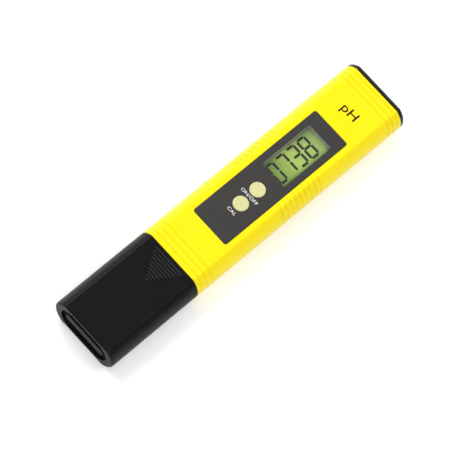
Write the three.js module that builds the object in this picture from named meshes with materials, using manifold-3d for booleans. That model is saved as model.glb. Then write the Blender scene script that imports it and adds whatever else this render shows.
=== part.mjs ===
// A flat pocket pH tester: a two-part case with a probe at one end and a bay of button cells at the other.
// Millimetres. The tester lies on its back: +Z is out of its front face, +Y points at the battery end, and
// X runs across it. The origin is the middle of the base that it lies on.
import * as THREE from 'three';
import { mergeVertices } from 'three/addons/utils/BufferGeometryUtils.js';
import Module from 'manifold-3d';

const wasm = await Module();
wasm.setup();

// ---------------------------------------------------------------- driving dimensions
const PEN = { length: 152, width: 31, thickness: 15, frontFlat: 22.6 };
const WALL = 1.35;
const GAP = 0.3; // between pieces that touch or slide on each other
const FINE = 0.15; // between thin plates, and between the board and what is soldered to it
const REACH = 20; // how far a cutting tool runs past the pen
const SEAM = 6; // height of the joint between the two halves of the case
const END_Y = PEN.length / 2;
const MID_Z = PEN.thickness / 2;
const CAP = { length: 43.2, wall: 1.5, end: 2.8, round: 1 };
const CAP_TRENCH = { width: 24, height: 11.4, depth: 1.3 };
const CAP_ISLAND = { width: 20.4, height: 3.8, recess: 0.4 };
const ARROW = { ribs: 10, base: -34.8, tip: -47.3, half: 7.4, rib: 0.55, height: 0.2 };
const BATTERY_CAP = { flange: 2, plug: 3.2, wall: 1.4, round: 0.7 };
const CAP_EDGE = -END_Y + CAP.length;
const CASE = { low: CAP_EDGE, high: END_Y - BATTERY_CAP.flange };

const LABEL = { width: 17.8, length: 63.8, y: 17.8, thickness: 0.4, recess: 0.6, corner: 1 };
const WINDOW = { width: 12.1, length: 24.9, y: 31.4, thickness: 0.5, lap: 0.25 };
const LCD = { width: 16, length: 27.4, thickness: 1.8, top: 12.4 };
const BUTTON = { x: 0.5, diameter: 6.3, flange: 7.9, flangeThickness: 0.4, stem: 3, top: 15.1 };
const BUTTONS = [
  { name: 'power', y: 10.4 },
  { name: 'cal', y: 1.7 },
];
const SWITCH = { side: 6, height: 2.4, floor: 0.9, plunger: 3.3, plungerLow: 1.4, plungerTop: 3.3 };
const BOARD = { width: 22.6, low: -21, high: 55, top: 8.6, thickness: 1, corner: 1.5 };
const BOSS = { x: 8.9, radius: 2.2, pilot: 1, places: [-17.5, 51] };
const SCREW = { shank: 0.8, length: 4.6, head: 1.7, headHeight: 1, slot: 0.44, slotDepth: 0.45 };
const REAR_RIBS = { places: [-10, 14, 38], half: 9, thickness: 1.2, top: 3.6 };
const LOCK = { y: -28.8, rib: 1.2, groove: 2, depth: 1, grooveDepth: 1.4 };

const CELL = { diameter: 11.6, thickness: 5.4, count: 4, pitch: 5.6, y: 64.6 };
const GROOVE = { depth: 0.45, width: 0.95 };
const CAP_END_GROOVES = [-30.7, -28.1, -25.5];
const BATTERY_END_GROOVES = [67.4, 69.8, 72.2];
const GRIP = { count: 9, first: 11.75, pitch: 2.45, width: 1.15, depth: 0.5 };
const HOLDER = { half: 13.2, thickness: 1.2, cheekHeight: 5.6, cheekReach: 4 };
const LEAF = { thickness: 0.3, height: 4.4, reach: 3, bump: 0.9, bumpDepth: 0.22 };

const HOUSING = {
  neckLow: -42, inner: -25, tip: -67, width: 22, thickness: 9.8, bore: 2.3, inset: 1.9,
  round: 0.6,
};
const WELL = { floor: -55, width: 19.6, thickness: 7.4, notch: 8, notchDepth: 5 };
const STEM = { radius: 2, wall: 0.6, bulb: 3, bulbWall: 0.5, bulbY: -60, top: -23 };
const JUNCTION = { radius: 1.2, x: 6.4, y: -55.2, length: 5, lead: 0.8 };
const STEM_SEAL = { radius: 4, length: 1.8, seat: 4.3, seatDepth: 2.3 };
const CAP_SEAL = { y: -37.2, length: 1.4, groove: 2, inset: 1.8, grooveInset: 3.2 };
const LEAD_RADIUS = 0.45;

// ---------------------------------------------------------------- materials
const materials = {
  yellowPlastic: { color: 0xfbe800, roughness: 0.38, metalness: 0 },
  blackPlastic: { color: 0x262627, roughness: 0.42, metalness: 0 },
  labelFilm: { color: 0x3d3739, roughness: 0.35, metalness: 0 },
  creamPlastic: { color: 0xeae6b0, roughness: 0.45, metalness: 0 },
  clearPlastic: { color: 0xdfe8e0, roughness: 0.08, metalness: 0 },
  palePlastic: { color: 0xd8d8d2, roughness: 0.5, metalness: 0 },
  displayGlass: { color: 0x8fb04a, roughness: 0.2, metalness: 0 },
  circuitBoard: { color: 0x1f6b3a, roughness: 0.5, metalness: 0 },
  chipResin: { color: 0x1b1b1d, roughness: 0.6, metalness: 0 },
  ceramic: { color: 0xd9c9a8, roughness: 0.8, metalness: 0 },
  steel: { color: 0xc4c6c8, roughness: 0.25, metalness: 1 },
  silver: { color: 0xd8d4c8, roughness: 0.3, metalness: 1 },
  rubber: { color: 0x202020, roughness: 0.8, metalness: 0 },
  glass: { color: 0xe4eef0, roughness: 0.05, metalness: 0 },
  redSleeve: { color: 0xb3261e, roughness: 0.5, metalness: 0 },
  blackSleeve: { color: 0x1d1d1d, roughness: 0.5, metalness: 0 },
};

function piece(name, geometry, materialName, position = [0, 0, 0]) {
  const mesh = new THREE.Mesh(geometry, new THREE.MeshStandardMaterial(materials[materialName]));
  mesh.name = name;
  mesh.position.set(...position);
  return mesh;
}

// ---------------------------------------------------------------- cutting and joining
function toSolid(geometry) {
  const bare = geometry.clone();
  bare.deleteAttribute('normal');
  bare.deleteAttribute('uv');
  const merged = mergeVertices(bare, 1e-4);
  const vertProperties = new Float32Array(merged.attributes.position.array);
  const triVerts = new Uint32Array(merged.index.array);
  return new wasm.Manifold(new wasm.Mesh({ numProp: 3, vertProperties, triVerts }));
}

function toGeometry(solid) {
  const mesh = solid.getMesh();
  const geometry = new THREE.BufferGeometry();
  geometry.setAttribute('position', new THREE.BufferAttribute(new Float32Array(mesh.vertProperties), 3));
  geometry.setIndex(new THREE.BufferAttribute(new Uint32Array(mesh.triVerts), 1));
  geometry.computeVertexNormals();
  return geometry;
}

const cut = (body, tools) => tools.reduce((solid, tool) => solid.subtract(toSolid(tool)), body);
const join = (body, tools) => tools.reduce((solid, tool) => solid.add(toSolid(tool)), body);

// ---------------------------------------------------------------- shapes along an axis
// A prism of an XY shape between two heights. Each arc becomes twice `curveSegments` straight edges.
function alongZ(shape, low, high, curveSegments = 2) {
  const options = { depth: high - low, bevelEnabled: false, curveSegments };
  const geometry = new THREE.ExtrudeGeometry(shape, options);
  return geometry.translate(0, 0, low);
}

// A prism of an XZ shape between two places on Y, with both ends rounded by `round`.
function alongY(shape, low, high, round = 0) {
  const options = { depth: high - low - 2 * round, bevelEnabled: round > 0, curveSegments: 4 };
  if (round > 0) {
    const bevel = { bevelThickness: round, bevelSize: round, bevelOffset: -round, bevelSegments: 2 };
    Object.assign(options, bevel);
  }
  return new THREE.ExtrudeGeometry(shape, options).rotateX(Math.PI / 2).translate(0, high - round, 0);
}

// A block between two corners.
function block(low, high) {
  const size = high.map((value, i) => value - low[i]);
  const middle = high.map((value, i) => (value + low[i]) / 2);
  return new THREE.BoxGeometry(...size).translate(...middle);
}

// An upright cylinder between two heights, standing at x, y.
function post(radius, low, high, x = 0, y = 0, segments = 16) {
  const geometry = new THREE.CylinderGeometry(radius, radius, high - low, segments).rotateX(Math.PI / 2);
  return geometry.translate(x, y, (low + high) / 2);
}

// A cylinder along Y between two places.
function rod(radius, low, high, x = 0, z = MID_Z, segments = 16) {
  return new THREE.CylinderGeometry(radius, radius, high - low, segments).translate(x, (low + high) / 2, z);
}

// A rectangle with rounded corners, centred on x, y.
function roundedRectangle(width, length, corner, x = 0, y = 0) {
  const [left, right, low, high] = [x - width / 2, x + width / 2, y - length / 2, y + length / 2];
  const shape = new THREE.Shape();
  shape.moveTo(left + corner, low);
  shape.lineTo(right - corner, low);
  shape.absarc(right - corner, low + corner, corner, -Math.PI / 2, 0, false);
  shape.lineTo(right, high - corner);
  shape.absarc(right - corner, high - corner, corner, 0, Math.PI / 2, false);
  shape.lineTo(left + corner, high);
  shape.absarc(left + corner, high - corner, corner, Math.PI / 2, Math.PI, false);
  shape.lineTo(left, low + corner);
  shape.absarc(left + corner, low + corner, corner, Math.PI, 1.5 * Math.PI, false);
  return shape;
}

// The section of the pen, shrunk by `inset`: flat front and back, and sides that bulge as circular arcs.
// The arc of each side ends on the flats and reaches the pen's full width half way between them.
const sideReach = (PEN.width - PEN.frontFlat) / 2;
const SIDE_RADIUS = (sideReach ** 2 + MID_Z ** 2) / (2 * sideReach);
const SIDE_CENTRE = PEN.width / 2 - SIDE_RADIUS;

function penSection(inset = 0) {
  const radius = SIDE_RADIUS - inset;
  const half = Math.asin((MID_Z - inset) / radius);
  const shape = new THREE.Shape();
  shape.absarc(SIDE_CENTRE, MID_Z, radius, -half, half, false);
  shape.absarc(-SIDE_CENTRE, MID_Z, radius, Math.PI - half, Math.PI + half, false);
  return shape;
}

// A band that follows the pen's outside, `depth` deep, used to cut a groove round it.
function grooveBand(y, width, depth) {
  const outside = penSection(-1);
  const band = toSolid(alongY(outside, y - width / 2, y + width / 2));
  return band.subtract(toSolid(alongY(penSection(depth), y - width, y + width)));
}

// ---------------------------------------------------------------- case
// The whole yellow case as a tube, with its grooves and grips. Each half is a part of it.
function caseTube() {
  let tube = toSolid(alongY(penSection(), CASE.low + GAP / 2, CASE.high - GAP / 2));
  tube = cut(tube, [alongY(penSection(WALL), CASE.low - 1, CASE.high + 1)]);
  for (const y of [...CAP_END_GROOVES, ...BATTERY_END_GROOVES]) {
    tube = tube.subtract(grooveBand(y, GROOVE.width, GROOVE.depth));
  }
  const flat = PEN.frontFlat / 2;
  const middle = toSolid(block([-flat, -END_Y, -REACH], [flat, END_Y, REACH]));
  for (let i = 0; i < GRIP.count; i += 1) {
    const band = grooveBand(GRIP.first + i * GRIP.pitch, GRIP.width, GRIP.depth);
    tube = tube.subtract(band.subtract(middle));
  }
  return tube;
}

// A rib inside the case that drops into the groove of the electrode holder.
function lockingRib() {
  const rib = toSolid(alongY(penSection(WALL / 2), LOCK.y - LOCK.rib / 2, LOCK.y + LOCK.rib / 2));
  return rib.subtract(toSolid(alongY(penSection(WALL + LOCK.depth), LOCK.y - LOCK.rib, LOCK.y + LOCK.rib)));
}

const insideTop = PEN.thickness - WALL;
const labelTop = PEN.thickness - 0.05;
const windowLow = labelTop - LABEL.thickness - FINE - WINDOW.thickness;
const COLLAR = { width: WINDOW.width + 4 * GAP, length: WINDOW.length + 4 * GAP, corner: 0.8 };

function frontShell(tube) {
  let shell = tube.add(lockingRib());
  shell = shell.intersect(toSolid(block([-REACH, -END_Y, SEAM + GAP / 2], [REACH, END_Y, REACH])));
  const tools = [];
  const recessFloor = PEN.thickness - LABEL.recess;
  const recess = roundedRectangle(LABEL.width + GAP, LABEL.length + GAP, LABEL.corner, 0, LABEL.y);
  tools.push(alongZ(recess, recessFloor, REACH));
  const room = 2 * GAP;
  const opening = roundedRectangle(COLLAR.width + room, COLLAR.length + room, COLLAR.corner, 0, WINDOW.y);
  tools.push(alongZ(opening, MID_Z, REACH));
  for (const button of BUTTONS) {
    tools.push(post(BUTTON.diameter / 2 + 0.25, MID_Z, REACH, BUTTON.x, button.y, 24));
  }
  const bosses = [];
  const pilots = [];
  for (const y of BOSS.places) {
    for (const x of [-BOSS.x, BOSS.x]) {
      bosses.push(post(BOSS.radius, BOARD.top + FINE, insideTop + WALL / 4, x, y, 12));
      pilots.push(post(BOSS.pilot, BOARD.top - 1, insideTop - 1, x, y, 10));
    }
  }
  shell = cut(join(cut(shell, tools), bosses), pilots);
  return piece('front_shell', toGeometry(shell), 'yellowPlastic');
}

function rearShell(tube) {
  let shell = tube.add(lockingRib());
  shell = shell.intersect(toSolid(block([-REACH, -END_Y, -REACH], [REACH, END_Y, SEAM - GAP / 2])));
  const { half, thickness, top } = REAR_RIBS;
  const ribs = REAR_RIBS.places.map((y) =>
    block([-half, y - thickness / 2, WALL / 2], [half, y + thickness / 2, top]),
  );
  return piece('rear_shell', toGeometry(join(shell, ribs)), 'yellowPlastic');
}

// ---------------------------------------------------------------- front panel
function frontLabel() {
  const plate = roundedRectangle(LABEL.width, LABEL.length, LABEL.corner, 0, LABEL.y);
  plate.holes.push(roundedRectangle(WINDOW.width, WINDOW.length, 0.5, 0, WINDOW.y));
  for (const button of BUTTONS) {
    const radius = BUTTON.diameter / 2 + FINE;
    plate.holes.push(new THREE.Path().absarc(BUTTON.x, button.y, radius, 0, 2 * Math.PI, true));
  }
  return piece('front_label', alongZ(plate, labelTop - LABEL.thickness, labelTop, 8), 'labelFilm');
}

function displayWindow() {
  const plate = roundedRectangle(WINDOW.width + 2 * WINDOW.lap, WINDOW.length + 2 * WINDOW.lap, 0.5);
  const place = [0, WINDOW.y, windowLow];
  return piece('display_window', alongZ(plate, 0, WINDOW.thickness), 'clearPlastic', place);
}

function pressButton(button) {
  const flangeTop = insideTop - FINE;
  const flangeLow = flangeTop - BUTTON.flangeThickness;
  const stemLow = BOARD.top + FINE + SWITCH.plungerTop + GAP;
  const solid = join(toSolid(post(BUTTON.diameter / 2, flangeLow, BUTTON.top, 0, 0, 24)), [
    post(BUTTON.flange / 2, flangeLow, flangeTop, 0, 0, 24),
    post(BUTTON.stem / 2, stemLow, flangeTop),
  ]);
  return piece(`${button.name}_button`, toGeometry(solid), 'creamPlastic', [BUTTON.x, button.y, 0]);
}

// ---------------------------------------------------------------- display
// A frame that holds the display cell, with a collar that rises through the case to carry the window.
function lcdFrame() {
  const high = insideTop - FINE;
  const collarTop = windowLow - FINE;
  const low = BOARD.top + FINE;
  const rim = 1.2;
  const outer = roundedRectangle(LCD.width + 2 * rim, LCD.length + 2 * rim, 0.8);
  const collar = roundedRectangle(COLLAR.width, COLLAR.length, COLLAR.corner);
  let solid = join(toSolid(alongZ(outer, low, high)), [alongZ(collar, high - rim, collarTop)]);
  const aperture = roundedRectangle(WINDOW.width, WINDOW.length, 0.5);
  const pocket = roundedRectangle(LCD.width + 2 * GAP, LCD.length + 2 * GAP, 0.3);
  solid = cut(solid, [alongZ(aperture, low - 1, REACH), alongZ(pocket, low - 1, LCD.top + FINE)]);
  return piece('lcd_frame', toGeometry(solid), 'palePlastic', [0, WINDOW.y, 0]);
}

function lcdPanel() {
  const cell = roundedRectangle(LCD.width, LCD.length, 0.2);
  const low = LCD.top - LCD.thickness;
  return piece('lcd_panel', alongZ(cell, 0, LCD.thickness), 'displayGlass', [0, WINDOW.y, low]);
}

function zebraStrip(side) {
  const low = BOARD.top + FINE;
  const high = LCD.top - LCD.thickness - FINE;
  const width = 1.8;
  const size = [width, LCD.length - 2, high - low];
  const place = [side * (LCD.width / 2 - width / 2 - GAP), WINDOW.y, (low + high) / 2];
  const name = side < 0 ? 'zebra_strip_left' : 'zebra_strip_right';
  return piece(name, new THREE.BoxGeometry(...size), 'rubber', place);
}

// ---------------------------------------------------------------- electronics
function mainBoard() {
  const length = BOARD.high - BOARD.low;
  const outline = roundedRectangle(BOARD.width, length, BOARD.corner, 0, (BOARD.high + BOARD.low) / 2);
  for (const y of BOSS.places) {
    for (const x of [-BOSS.x, BOSS.x]) {
      outline.holes.push(new THREE.Path().absarc(x, y, SCREW.shank + GAP, 0, 2 * Math.PI, true));
    }
  }
  return piece('main_board', alongZ(outline, BOARD.top - BOARD.thickness, BOARD.top, 6), 'circuitBoard');
}

function tactSwitch(button) {
  const half = SWITCH.side / 2;
  const base = block([-half, -half, 0], [half, half, SWITCH.height]);
  const solid = cut(toSolid(base), [post(SWITCH.plunger / 2 + FINE, SWITCH.floor, SWITCH.height + 1)]);
  const place = [BUTTON.x, button.y, BOARD.top + FINE];
  return piece(`${button.name}_switch`, toGeometry(solid), 'blackPlastic', place);
}

function switchPlunger(button) {
  const geometry = post(SWITCH.plunger / 2, SWITCH.plungerLow, SWITCH.plungerTop);
  return piece(`${button.name}_plunger`, geometry, 'blackPlastic', [BUTTON.x, button.y, BOARD.top + FINE]);
}

// What is soldered to the board's rear hangs just below this height.
const boardRear = BOARD.top - BOARD.thickness - FINE;

// A chip on the board's rear: its body, and a row of flat legs that stand out on two sides.
function chip(name, { width, length, height, legs }, x, y) {
  const lift = 0.2;
  const legReach = 0.9;
  let solid = toSolid(block([-width / 2, -length / 2, -height], [width / 2, length / 2, -lift]));
  const pitch = (length * 0.86) / legs;
  const comb = [];
  for (let i = 0; i < legs; i += 1) {
    const middle = (i - (legs - 1) / 2) * pitch;
    const reach = width / 2 + legReach;
    comb.push(block([-reach, middle - pitch / 4, -height / 2], [reach, middle + pitch / 4, 0]));
  }
  solid = join(solid, comb);
  return piece(name, toGeometry(solid), 'chipResin', [x, y, boardRear]);
}

function quartzCrystal() {
  const radius = 1.5;
  const can = new THREE.CapsuleGeometry(radius, 5.4, 2, 12);
  return piece('quartz_crystal', can, 'steel', [8.6, 4, boardRear - radius]);
}

function smallPart(name, materialName, x, y) {
  const height = 1;
  return piece(name, new THREE.BoxGeometry(1.25, 2, height), materialName, [x, y, boardRear - height / 2]);
}

function boardScrew(number, x, y) {
  const head = post(SCREW.head, -SCREW.headHeight, 0, 0, 0, 12);
  const shank = post(SCREW.shank, -SCREW.headHeight / 2, SCREW.length, 0, 0, 8);
  const slotFloor = SCREW.slotDepth - SCREW.headHeight;
  const slots = [0, Math.PI / 2].map((turn) =>
    block([-1.1, -SCREW.slot / 2, -2], [1.1, SCREW.slot / 2, slotFloor]).rotateZ(turn),
  );
  const solid = cut(join(toSolid(head), [shank]), slots);
  return piece(`board_screw_${number}`, toGeometry(solid), 'steel', [x, y, boardRear]);
}

// ---------------------------------------------------------------- cells and contacts
const stackHalf = ((CELL.count - 1) * CELL.pitch + CELL.thickness) / 2;
const bayFloor = CELL.y - CELL.diameter / 2 - 0.4;

// One button cell, its axis along X: a can with a smaller, lower lid on its left end.
function buttonCell(number) {
  const radius = CELL.diameter / 2;
  const half = CELL.thickness / 2;
  const profile = [
    [0, -half],
    [radius - 0.35, -half],
    [radius, -half + 0.35],
    [radius, half - 1],
    [radius - 0.8, half - 0.7],
    [radius - 1.4, half],
    [0, half],
  ].map(([r, y]) => new THREE.Vector2(r, y));
  const geometry = new THREE.LatheGeometry(profile, 20).rotateZ(Math.PI / 2);
  const x = (number - (CELL.count + 1) / 2) * CELL.pitch;
  return piece(`cell_${number}`, geometry, 'steel', [x, CELL.y, MID_Z]);
}

// The partition behind the cells, with a cheek at each end of the stack.
function batteryHolder() {
  const low = bayFloor - HOLDER.thickness;
  const partition = alongY(penSection(WALL + GAP), low, bayFloor);
  const cheekInner = stackHalf + LEAF.thickness + 2 * GAP;
  const cheekHalf = HOLDER.cheekHeight / 2;
  const cheeks = [-1, 1].map((side) => {
    const [left, right] = [cheekInner, HOLDER.half].map((x) => side * x).sort((a, b) => a - b);
    return block([left, low, MID_Z - cheekHalf], [right, CELL.y + HOLDER.cheekReach, MID_Z + cheekHalf]);
  });
  return piece('battery_holder', toGeometry(join(toSolid(partition), cheeks)), 'blackPlastic');
}

// A bent leaf that stands between the stack and a cheek, with a round bump towards the cell.
function batteryContact(name, side) {
  const x = side * (stackHalf + GAP + LEAF.thickness / 2);
  const [halfThickness, halfHeight] = [LEAF.thickness / 2, LEAF.height / 2];
  const low = bayFloor + FINE - CELL.y;
  const leaf = toSolid(block([-halfThickness, low, -halfHeight], [halfThickness, LEAF.reach, halfHeight]));
  const bump = new THREE.SphereGeometry(LEAF.bump, 10, 6);
  bump.scale(LEAF.bumpDepth / LEAF.bump, 1, 1).translate(-side * LEAF.thickness / 3, 0, 0);
  return piece(name, toGeometry(join(leaf, [bump])), 'steel', [x, CELL.y, MID_Z]);
}

function batteryCap() {
  const flange = alongY(penSection(), CASE.high + GAP / 2, END_Y, BATTERY_CAP.round);
  const low = CASE.high - BATTERY_CAP.plug;
  let solid = join(toSolid(flange), [alongY(penSection(WALL + GAP), low, CASE.high + 1)]);
  const inside = WALL + GAP + BATTERY_CAP.wall;
  solid = cut(solid, [alongY(penSection(inside), low - 1, CASE.high - GAP)]);
  return piece('battery_cap', toGeometry(solid), 'blackPlastic');
}

// ---------------------------------------------------------------- probe
// The flattened section of the barrel: straight front and back, with half-round sides.
function barrelSection(width, thickness) {
  const radius = thickness / 2;
  const reach = width / 2 - radius;
  const shape = new THREE.Shape();
  shape.absarc(reach, MID_Z, radius, -Math.PI / 2, Math.PI / 2, false);
  shape.absarc(-reach, MID_Z, radius, Math.PI / 2, 1.5 * Math.PI, false);
  return shape;
}

function electrodeHolder() {
  const neck = alongY(penSection(HOUSING.inset), HOUSING.neckLow, HOUSING.inner);
  const outline = barrelSection(HOUSING.width, HOUSING.thickness);
  const barrel = alongY(outline, HOUSING.tip, HOUSING.neckLow + 1, HOUSING.round);
  let solid = join(toSolid(neck), [barrel]);
  solid = solid.subtract(grooveBand(LOCK.y, LOCK.groove, WALL + LOCK.grooveDepth));
  solid = solid.subtract(grooveBand(CAP_SEAL.y, CAP_SEAL.groove, CAP_SEAL.grooveInset));
  const well = alongY(barrelSection(WELL.width, WELL.thickness), HOUSING.tip - 1, WELL.floor);
  const notchHalf = WELL.notch / 2;
  const notchEnd = HOUSING.tip + WELL.notchDepth;
  const notch = block([-notchHalf, HOUSING.tip - 1, 0], [notchHalf, notchEnd, PEN.thickness]);
  const bore = rod(HOUSING.bore, WELL.floor - 1, HOUSING.inner + 1);
  const sealSeat = rod(STEM_SEAL.seat, HOUSING.inner - STEM_SEAL.seatDepth, HOUSING.inner + 1);
  const junctionEnd = JUNCTION.y + JUNCTION.length + GAP;
  const junctionSeat = rod(JUNCTION.radius + FINE, WELL.floor - 1, junctionEnd, JUNCTION.x, MID_Z, 12);
  const leadWay = rod(JUNCTION.lead, junctionEnd - 1, HOUSING.inner + 1, JUNCTION.x, MID_Z, 12);
  solid = cut(solid, [well, notch, bore, sealSeat, junctionSeat, leadWay]);
  return piece('electrode_holder', toGeometry(solid), 'blackPlastic');
}

// Thin glass: a straight stem, open at its top, that swells into a round bulb at the tip.
function glassElectrode() {
  const profile = [];
  const follow = (radius, stemRadius, steps) => {
    const points = [];
    const neckAngle = Math.asin(stemRadius / radius);
    for (let i = 0; i <= steps; i += 1) {
      const angle = Math.PI - ((Math.PI - neckAngle) * i) / steps;
      points.push(new THREE.Vector2(radius * Math.sin(angle), radius * Math.cos(angle)));
    }
    return points;
  };
  const outside = follow(STEM.bulb, STEM.radius, 6);
  const inside = follow(STEM.bulb - STEM.bulbWall, STEM.radius - STEM.wall, 6).reverse();
  const top = STEM.top - STEM.bulbY;
  outside[0].x = 0;
  inside[inside.length - 1].x = 0;
  profile.push(...outside, new THREE.Vector2(STEM.radius, top));
  profile.push(new THREE.Vector2(STEM.radius - STEM.wall, top), ...inside);
  return piece('glass_electrode', new THREE.LatheGeometry(profile, 16), 'glass', [0, STEM.bulbY, MID_Z]);
}

function referenceWire() {
  const wire = rod(0.35, STEM.bulbY + 1, STEM.top + 1.4, 0, 0, 8);
  return piece('reference_wire', wire, 'silver', [0, 0, MID_Z]);
}

function referenceJunction() {
  const plug = rod(JUNCTION.radius, 0, JUNCTION.length, 0, 0, 12);
  return piece('reference_junction', plug, 'ceramic', [JUNCTION.x, JUNCTION.y, MID_Z]);
}

// A rubber ring in the holder's seat, round the glass stem.
function stemSeal() {
  const ring = new THREE.Shape().absarc(0, MID_Z, STEM_SEAL.radius, 0, 2 * Math.PI, false);
  ring.holes.push(new THREE.Path().absarc(0, MID_Z, HOUSING.bore, 0, 2 * Math.PI, true));
  const high = HOUSING.inner - FINE;
  return piece('stem_seal', alongY(ring, high - STEM_SEAL.length, high), 'rubber');
}

// A rubber ring in the neck's groove, which the protective cap slides over.
function capSeal() {
  const ring = penSection(CAP_SEAL.inset);
  ring.holes.push(penSection(CAP_SEAL.grooveInset - FINE));
  const low = CAP_SEAL.y - CAP_SEAL.length / 2;
  return piece('cap_seal', alongY(ring, low, low + CAP_SEAL.length), 'rubber');
}

// ---------------------------------------------------------------- leads
// A thin insulated lead along a smooth curve through the points.
function lead(name, materialName, points) {
  const route = new THREE.CatmullRomCurve3(points.map((p) => new THREE.Vector3(...p)));
  const section = new THREE.Shape();
  const sides = 6;
  for (let i = 0; i < sides; i += 1) {
    const angle = (i / sides) * 2 * Math.PI;
    section[i ? 'lineTo' : 'moveTo'](LEAD_RADIUS * Math.cos(angle), LEAD_RADIUS * Math.sin(angle));
  }
  section.closePath();
  const geometry = new THREE.ExtrudeGeometry(section, { steps: 9, extrudePath: route });
  return piece(name, geometry, materialName);
}

function leads() {
  const onBoard = boardRear - LEAD_RADIUS;
  const atBay = bayFloor - HOLDER.thickness - 2 * GAP;
  const atStem = STEM.top + 1.8;
  const atJunction = HOUSING.inner + 0.4;
  return [
    lead('electrode_lead', 'blackSleeve', [
      [0, atStem, 6.7], [0, -19, 5.8], [0.6, -14, 5], [1, -9, onBoard],
    ]),
    lead('reference_lead', 'redSleeve', [
      [JUNCTION.x, atJunction, 6.6], [6.2, -22.6, 5.2], [4.6, -17, 4.6], [4, -11, onBoard],
    ]),
    lead('positive_lead', 'redSleeve', [[8, atBay, 5.6], [7.6, 54, 5], [5, 48, 5], [4, 44, onBoard]]),
    lead('negative_lead', 'blackSleeve', [[-8, atBay, 5.6], [-7.6, 54, 5], [-5, 48, 5], [-4, 44, onBoard]]),
  ];
}

// ---------------------------------------------------------------- protective cap
// An arrow of fine raised ribs on the cap's front that points at its closed end.
function capRibs() {
  const ribs = [];
  for (let i = 0; i < ARROW.ribs; i += 1) {
    const share = i / ARROW.ribs;
    const half = ARROW.half * (1 - share);
    const y = ARROW.base + (ARROW.tip - ARROW.base) * share;
    const low = [-half, y - ARROW.rib / 2, PEN.thickness - CAP.wall / 2];
    ribs.push(block(low, [half, y + ARROW.rib / 2, PEN.thickness + ARROW.height]));
  }
  return ribs;
}

// A cap with one closed end, where a shallow trench holds a raised island.
function protectiveCap() {
  let solid = toSolid(alongY(penSection(), -END_Y, CAP_EDGE + 3, CAP.round));
  solid = cut(solid, [
    block([-REACH, CAP_EDGE - GAP / 2, -REACH], [REACH, CAP_EDGE + REACH, REACH]),
    alongY(penSection(CAP.wall), -END_Y + CAP.end, CAP_EDGE + REACH),
  ]);
  const trenchFloor = -END_Y + CAP_TRENCH.depth;
  const trench = barrelSection(CAP_TRENCH.width, CAP_TRENCH.height);
  solid = cut(solid, [alongY(trench, -END_Y - 1, trenchFloor)]);
  const islandTop = -END_Y + CAP_ISLAND.recess;
  const islandOutline = barrelSection(CAP_ISLAND.width, CAP_ISLAND.height);
  const island = alongY(islandOutline, islandTop, trenchFloor + CAP.end / 4);
  solid = join(solid, [island, ...capRibs()]);
  return piece('protective_cap', toGeometry(solid), 'blackPlastic');
}

// ---------------------------------------------------------------- assembly
const pen = new THREE.Group();

const tube = caseTube();
const casing = new THREE.Group();
casing.add(frontShell(tube), rearShell(tube), frontLabel(), displayWindow());

const display = new THREE.Group();
display.add(lcdFrame(), lcdPanel(), zebraStrip(-1), zebraStrip(1));

const controls = new THREE.Group();
for (const button of BUTTONS) {
  controls.add(pressButton(button), tactSwitch(button), switchPlunger(button));
}

const electronics = new THREE.Group();
electronics.add(mainBoard(), quartzCrystal());
electronics.add(chip('controller_chip', { width: 7, length: 8, height: 1.6, legs: 8 }, 0, 28));
electronics.add(chip('amplifier_chip', { width: 4, length: 5, height: 1.5, legs: 4 }, -3, 6));
electronics.add(smallPart('capacitor_1', 'ceramic', 4.5, 10), smallPart('capacitor_2', 'ceramic', -8, 10));
electronics.add(smallPart('resistor_1', 'chipResin', -8, 2), smallPart('resistor_2', 'chipResin', 4.5, -2));
let screwNumber = 1;
for (const y of BOSS.places) {
  for (const x of [-BOSS.x, BOSS.x]) {
    electronics.add(boardScrew(screwNumber, x, y));
    screwNumber += 1;
  }
}

const power = new THREE.Group();
for (let number = 1; number <= CELL.count; number += 1) {
  power.add(buttonCell(number));
}
power.add(batteryHolder(), batteryContact('positive_contact', 1), batteryContact('negative_contact', -1));
power.add(batteryCap());

const probe = new THREE.Group();
probe.add(electrodeHolder(), glassElectrode(), referenceWire(), referenceJunction(), stemSeal(), capSeal());
probe.add(protectiveCap());

pen.add(casing, display, controls, electronics, power, probe, ...leads());

export default pen;
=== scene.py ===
import math

import bmesh
import bpy
from mathutils import Matrix, Vector


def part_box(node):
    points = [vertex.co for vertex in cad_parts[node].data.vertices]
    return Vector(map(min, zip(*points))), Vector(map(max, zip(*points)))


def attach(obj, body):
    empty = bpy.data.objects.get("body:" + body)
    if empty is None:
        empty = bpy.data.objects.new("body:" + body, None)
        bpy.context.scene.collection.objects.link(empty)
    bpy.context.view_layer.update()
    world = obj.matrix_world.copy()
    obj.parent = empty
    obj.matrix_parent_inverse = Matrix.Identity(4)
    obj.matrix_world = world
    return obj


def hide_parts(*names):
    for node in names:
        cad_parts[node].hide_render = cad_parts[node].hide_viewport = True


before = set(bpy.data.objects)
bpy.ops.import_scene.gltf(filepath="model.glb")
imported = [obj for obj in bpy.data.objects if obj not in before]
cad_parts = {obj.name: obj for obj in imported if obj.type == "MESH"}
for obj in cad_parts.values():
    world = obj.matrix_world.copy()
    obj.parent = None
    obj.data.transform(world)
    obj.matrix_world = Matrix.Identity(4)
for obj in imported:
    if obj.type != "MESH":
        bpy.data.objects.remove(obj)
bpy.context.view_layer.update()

MM = 0.001


def span(node):
    """The lowest and highest corner of a CAD node, in millimetres."""
    low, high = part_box(node)
    return low / MM, high / MM


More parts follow.
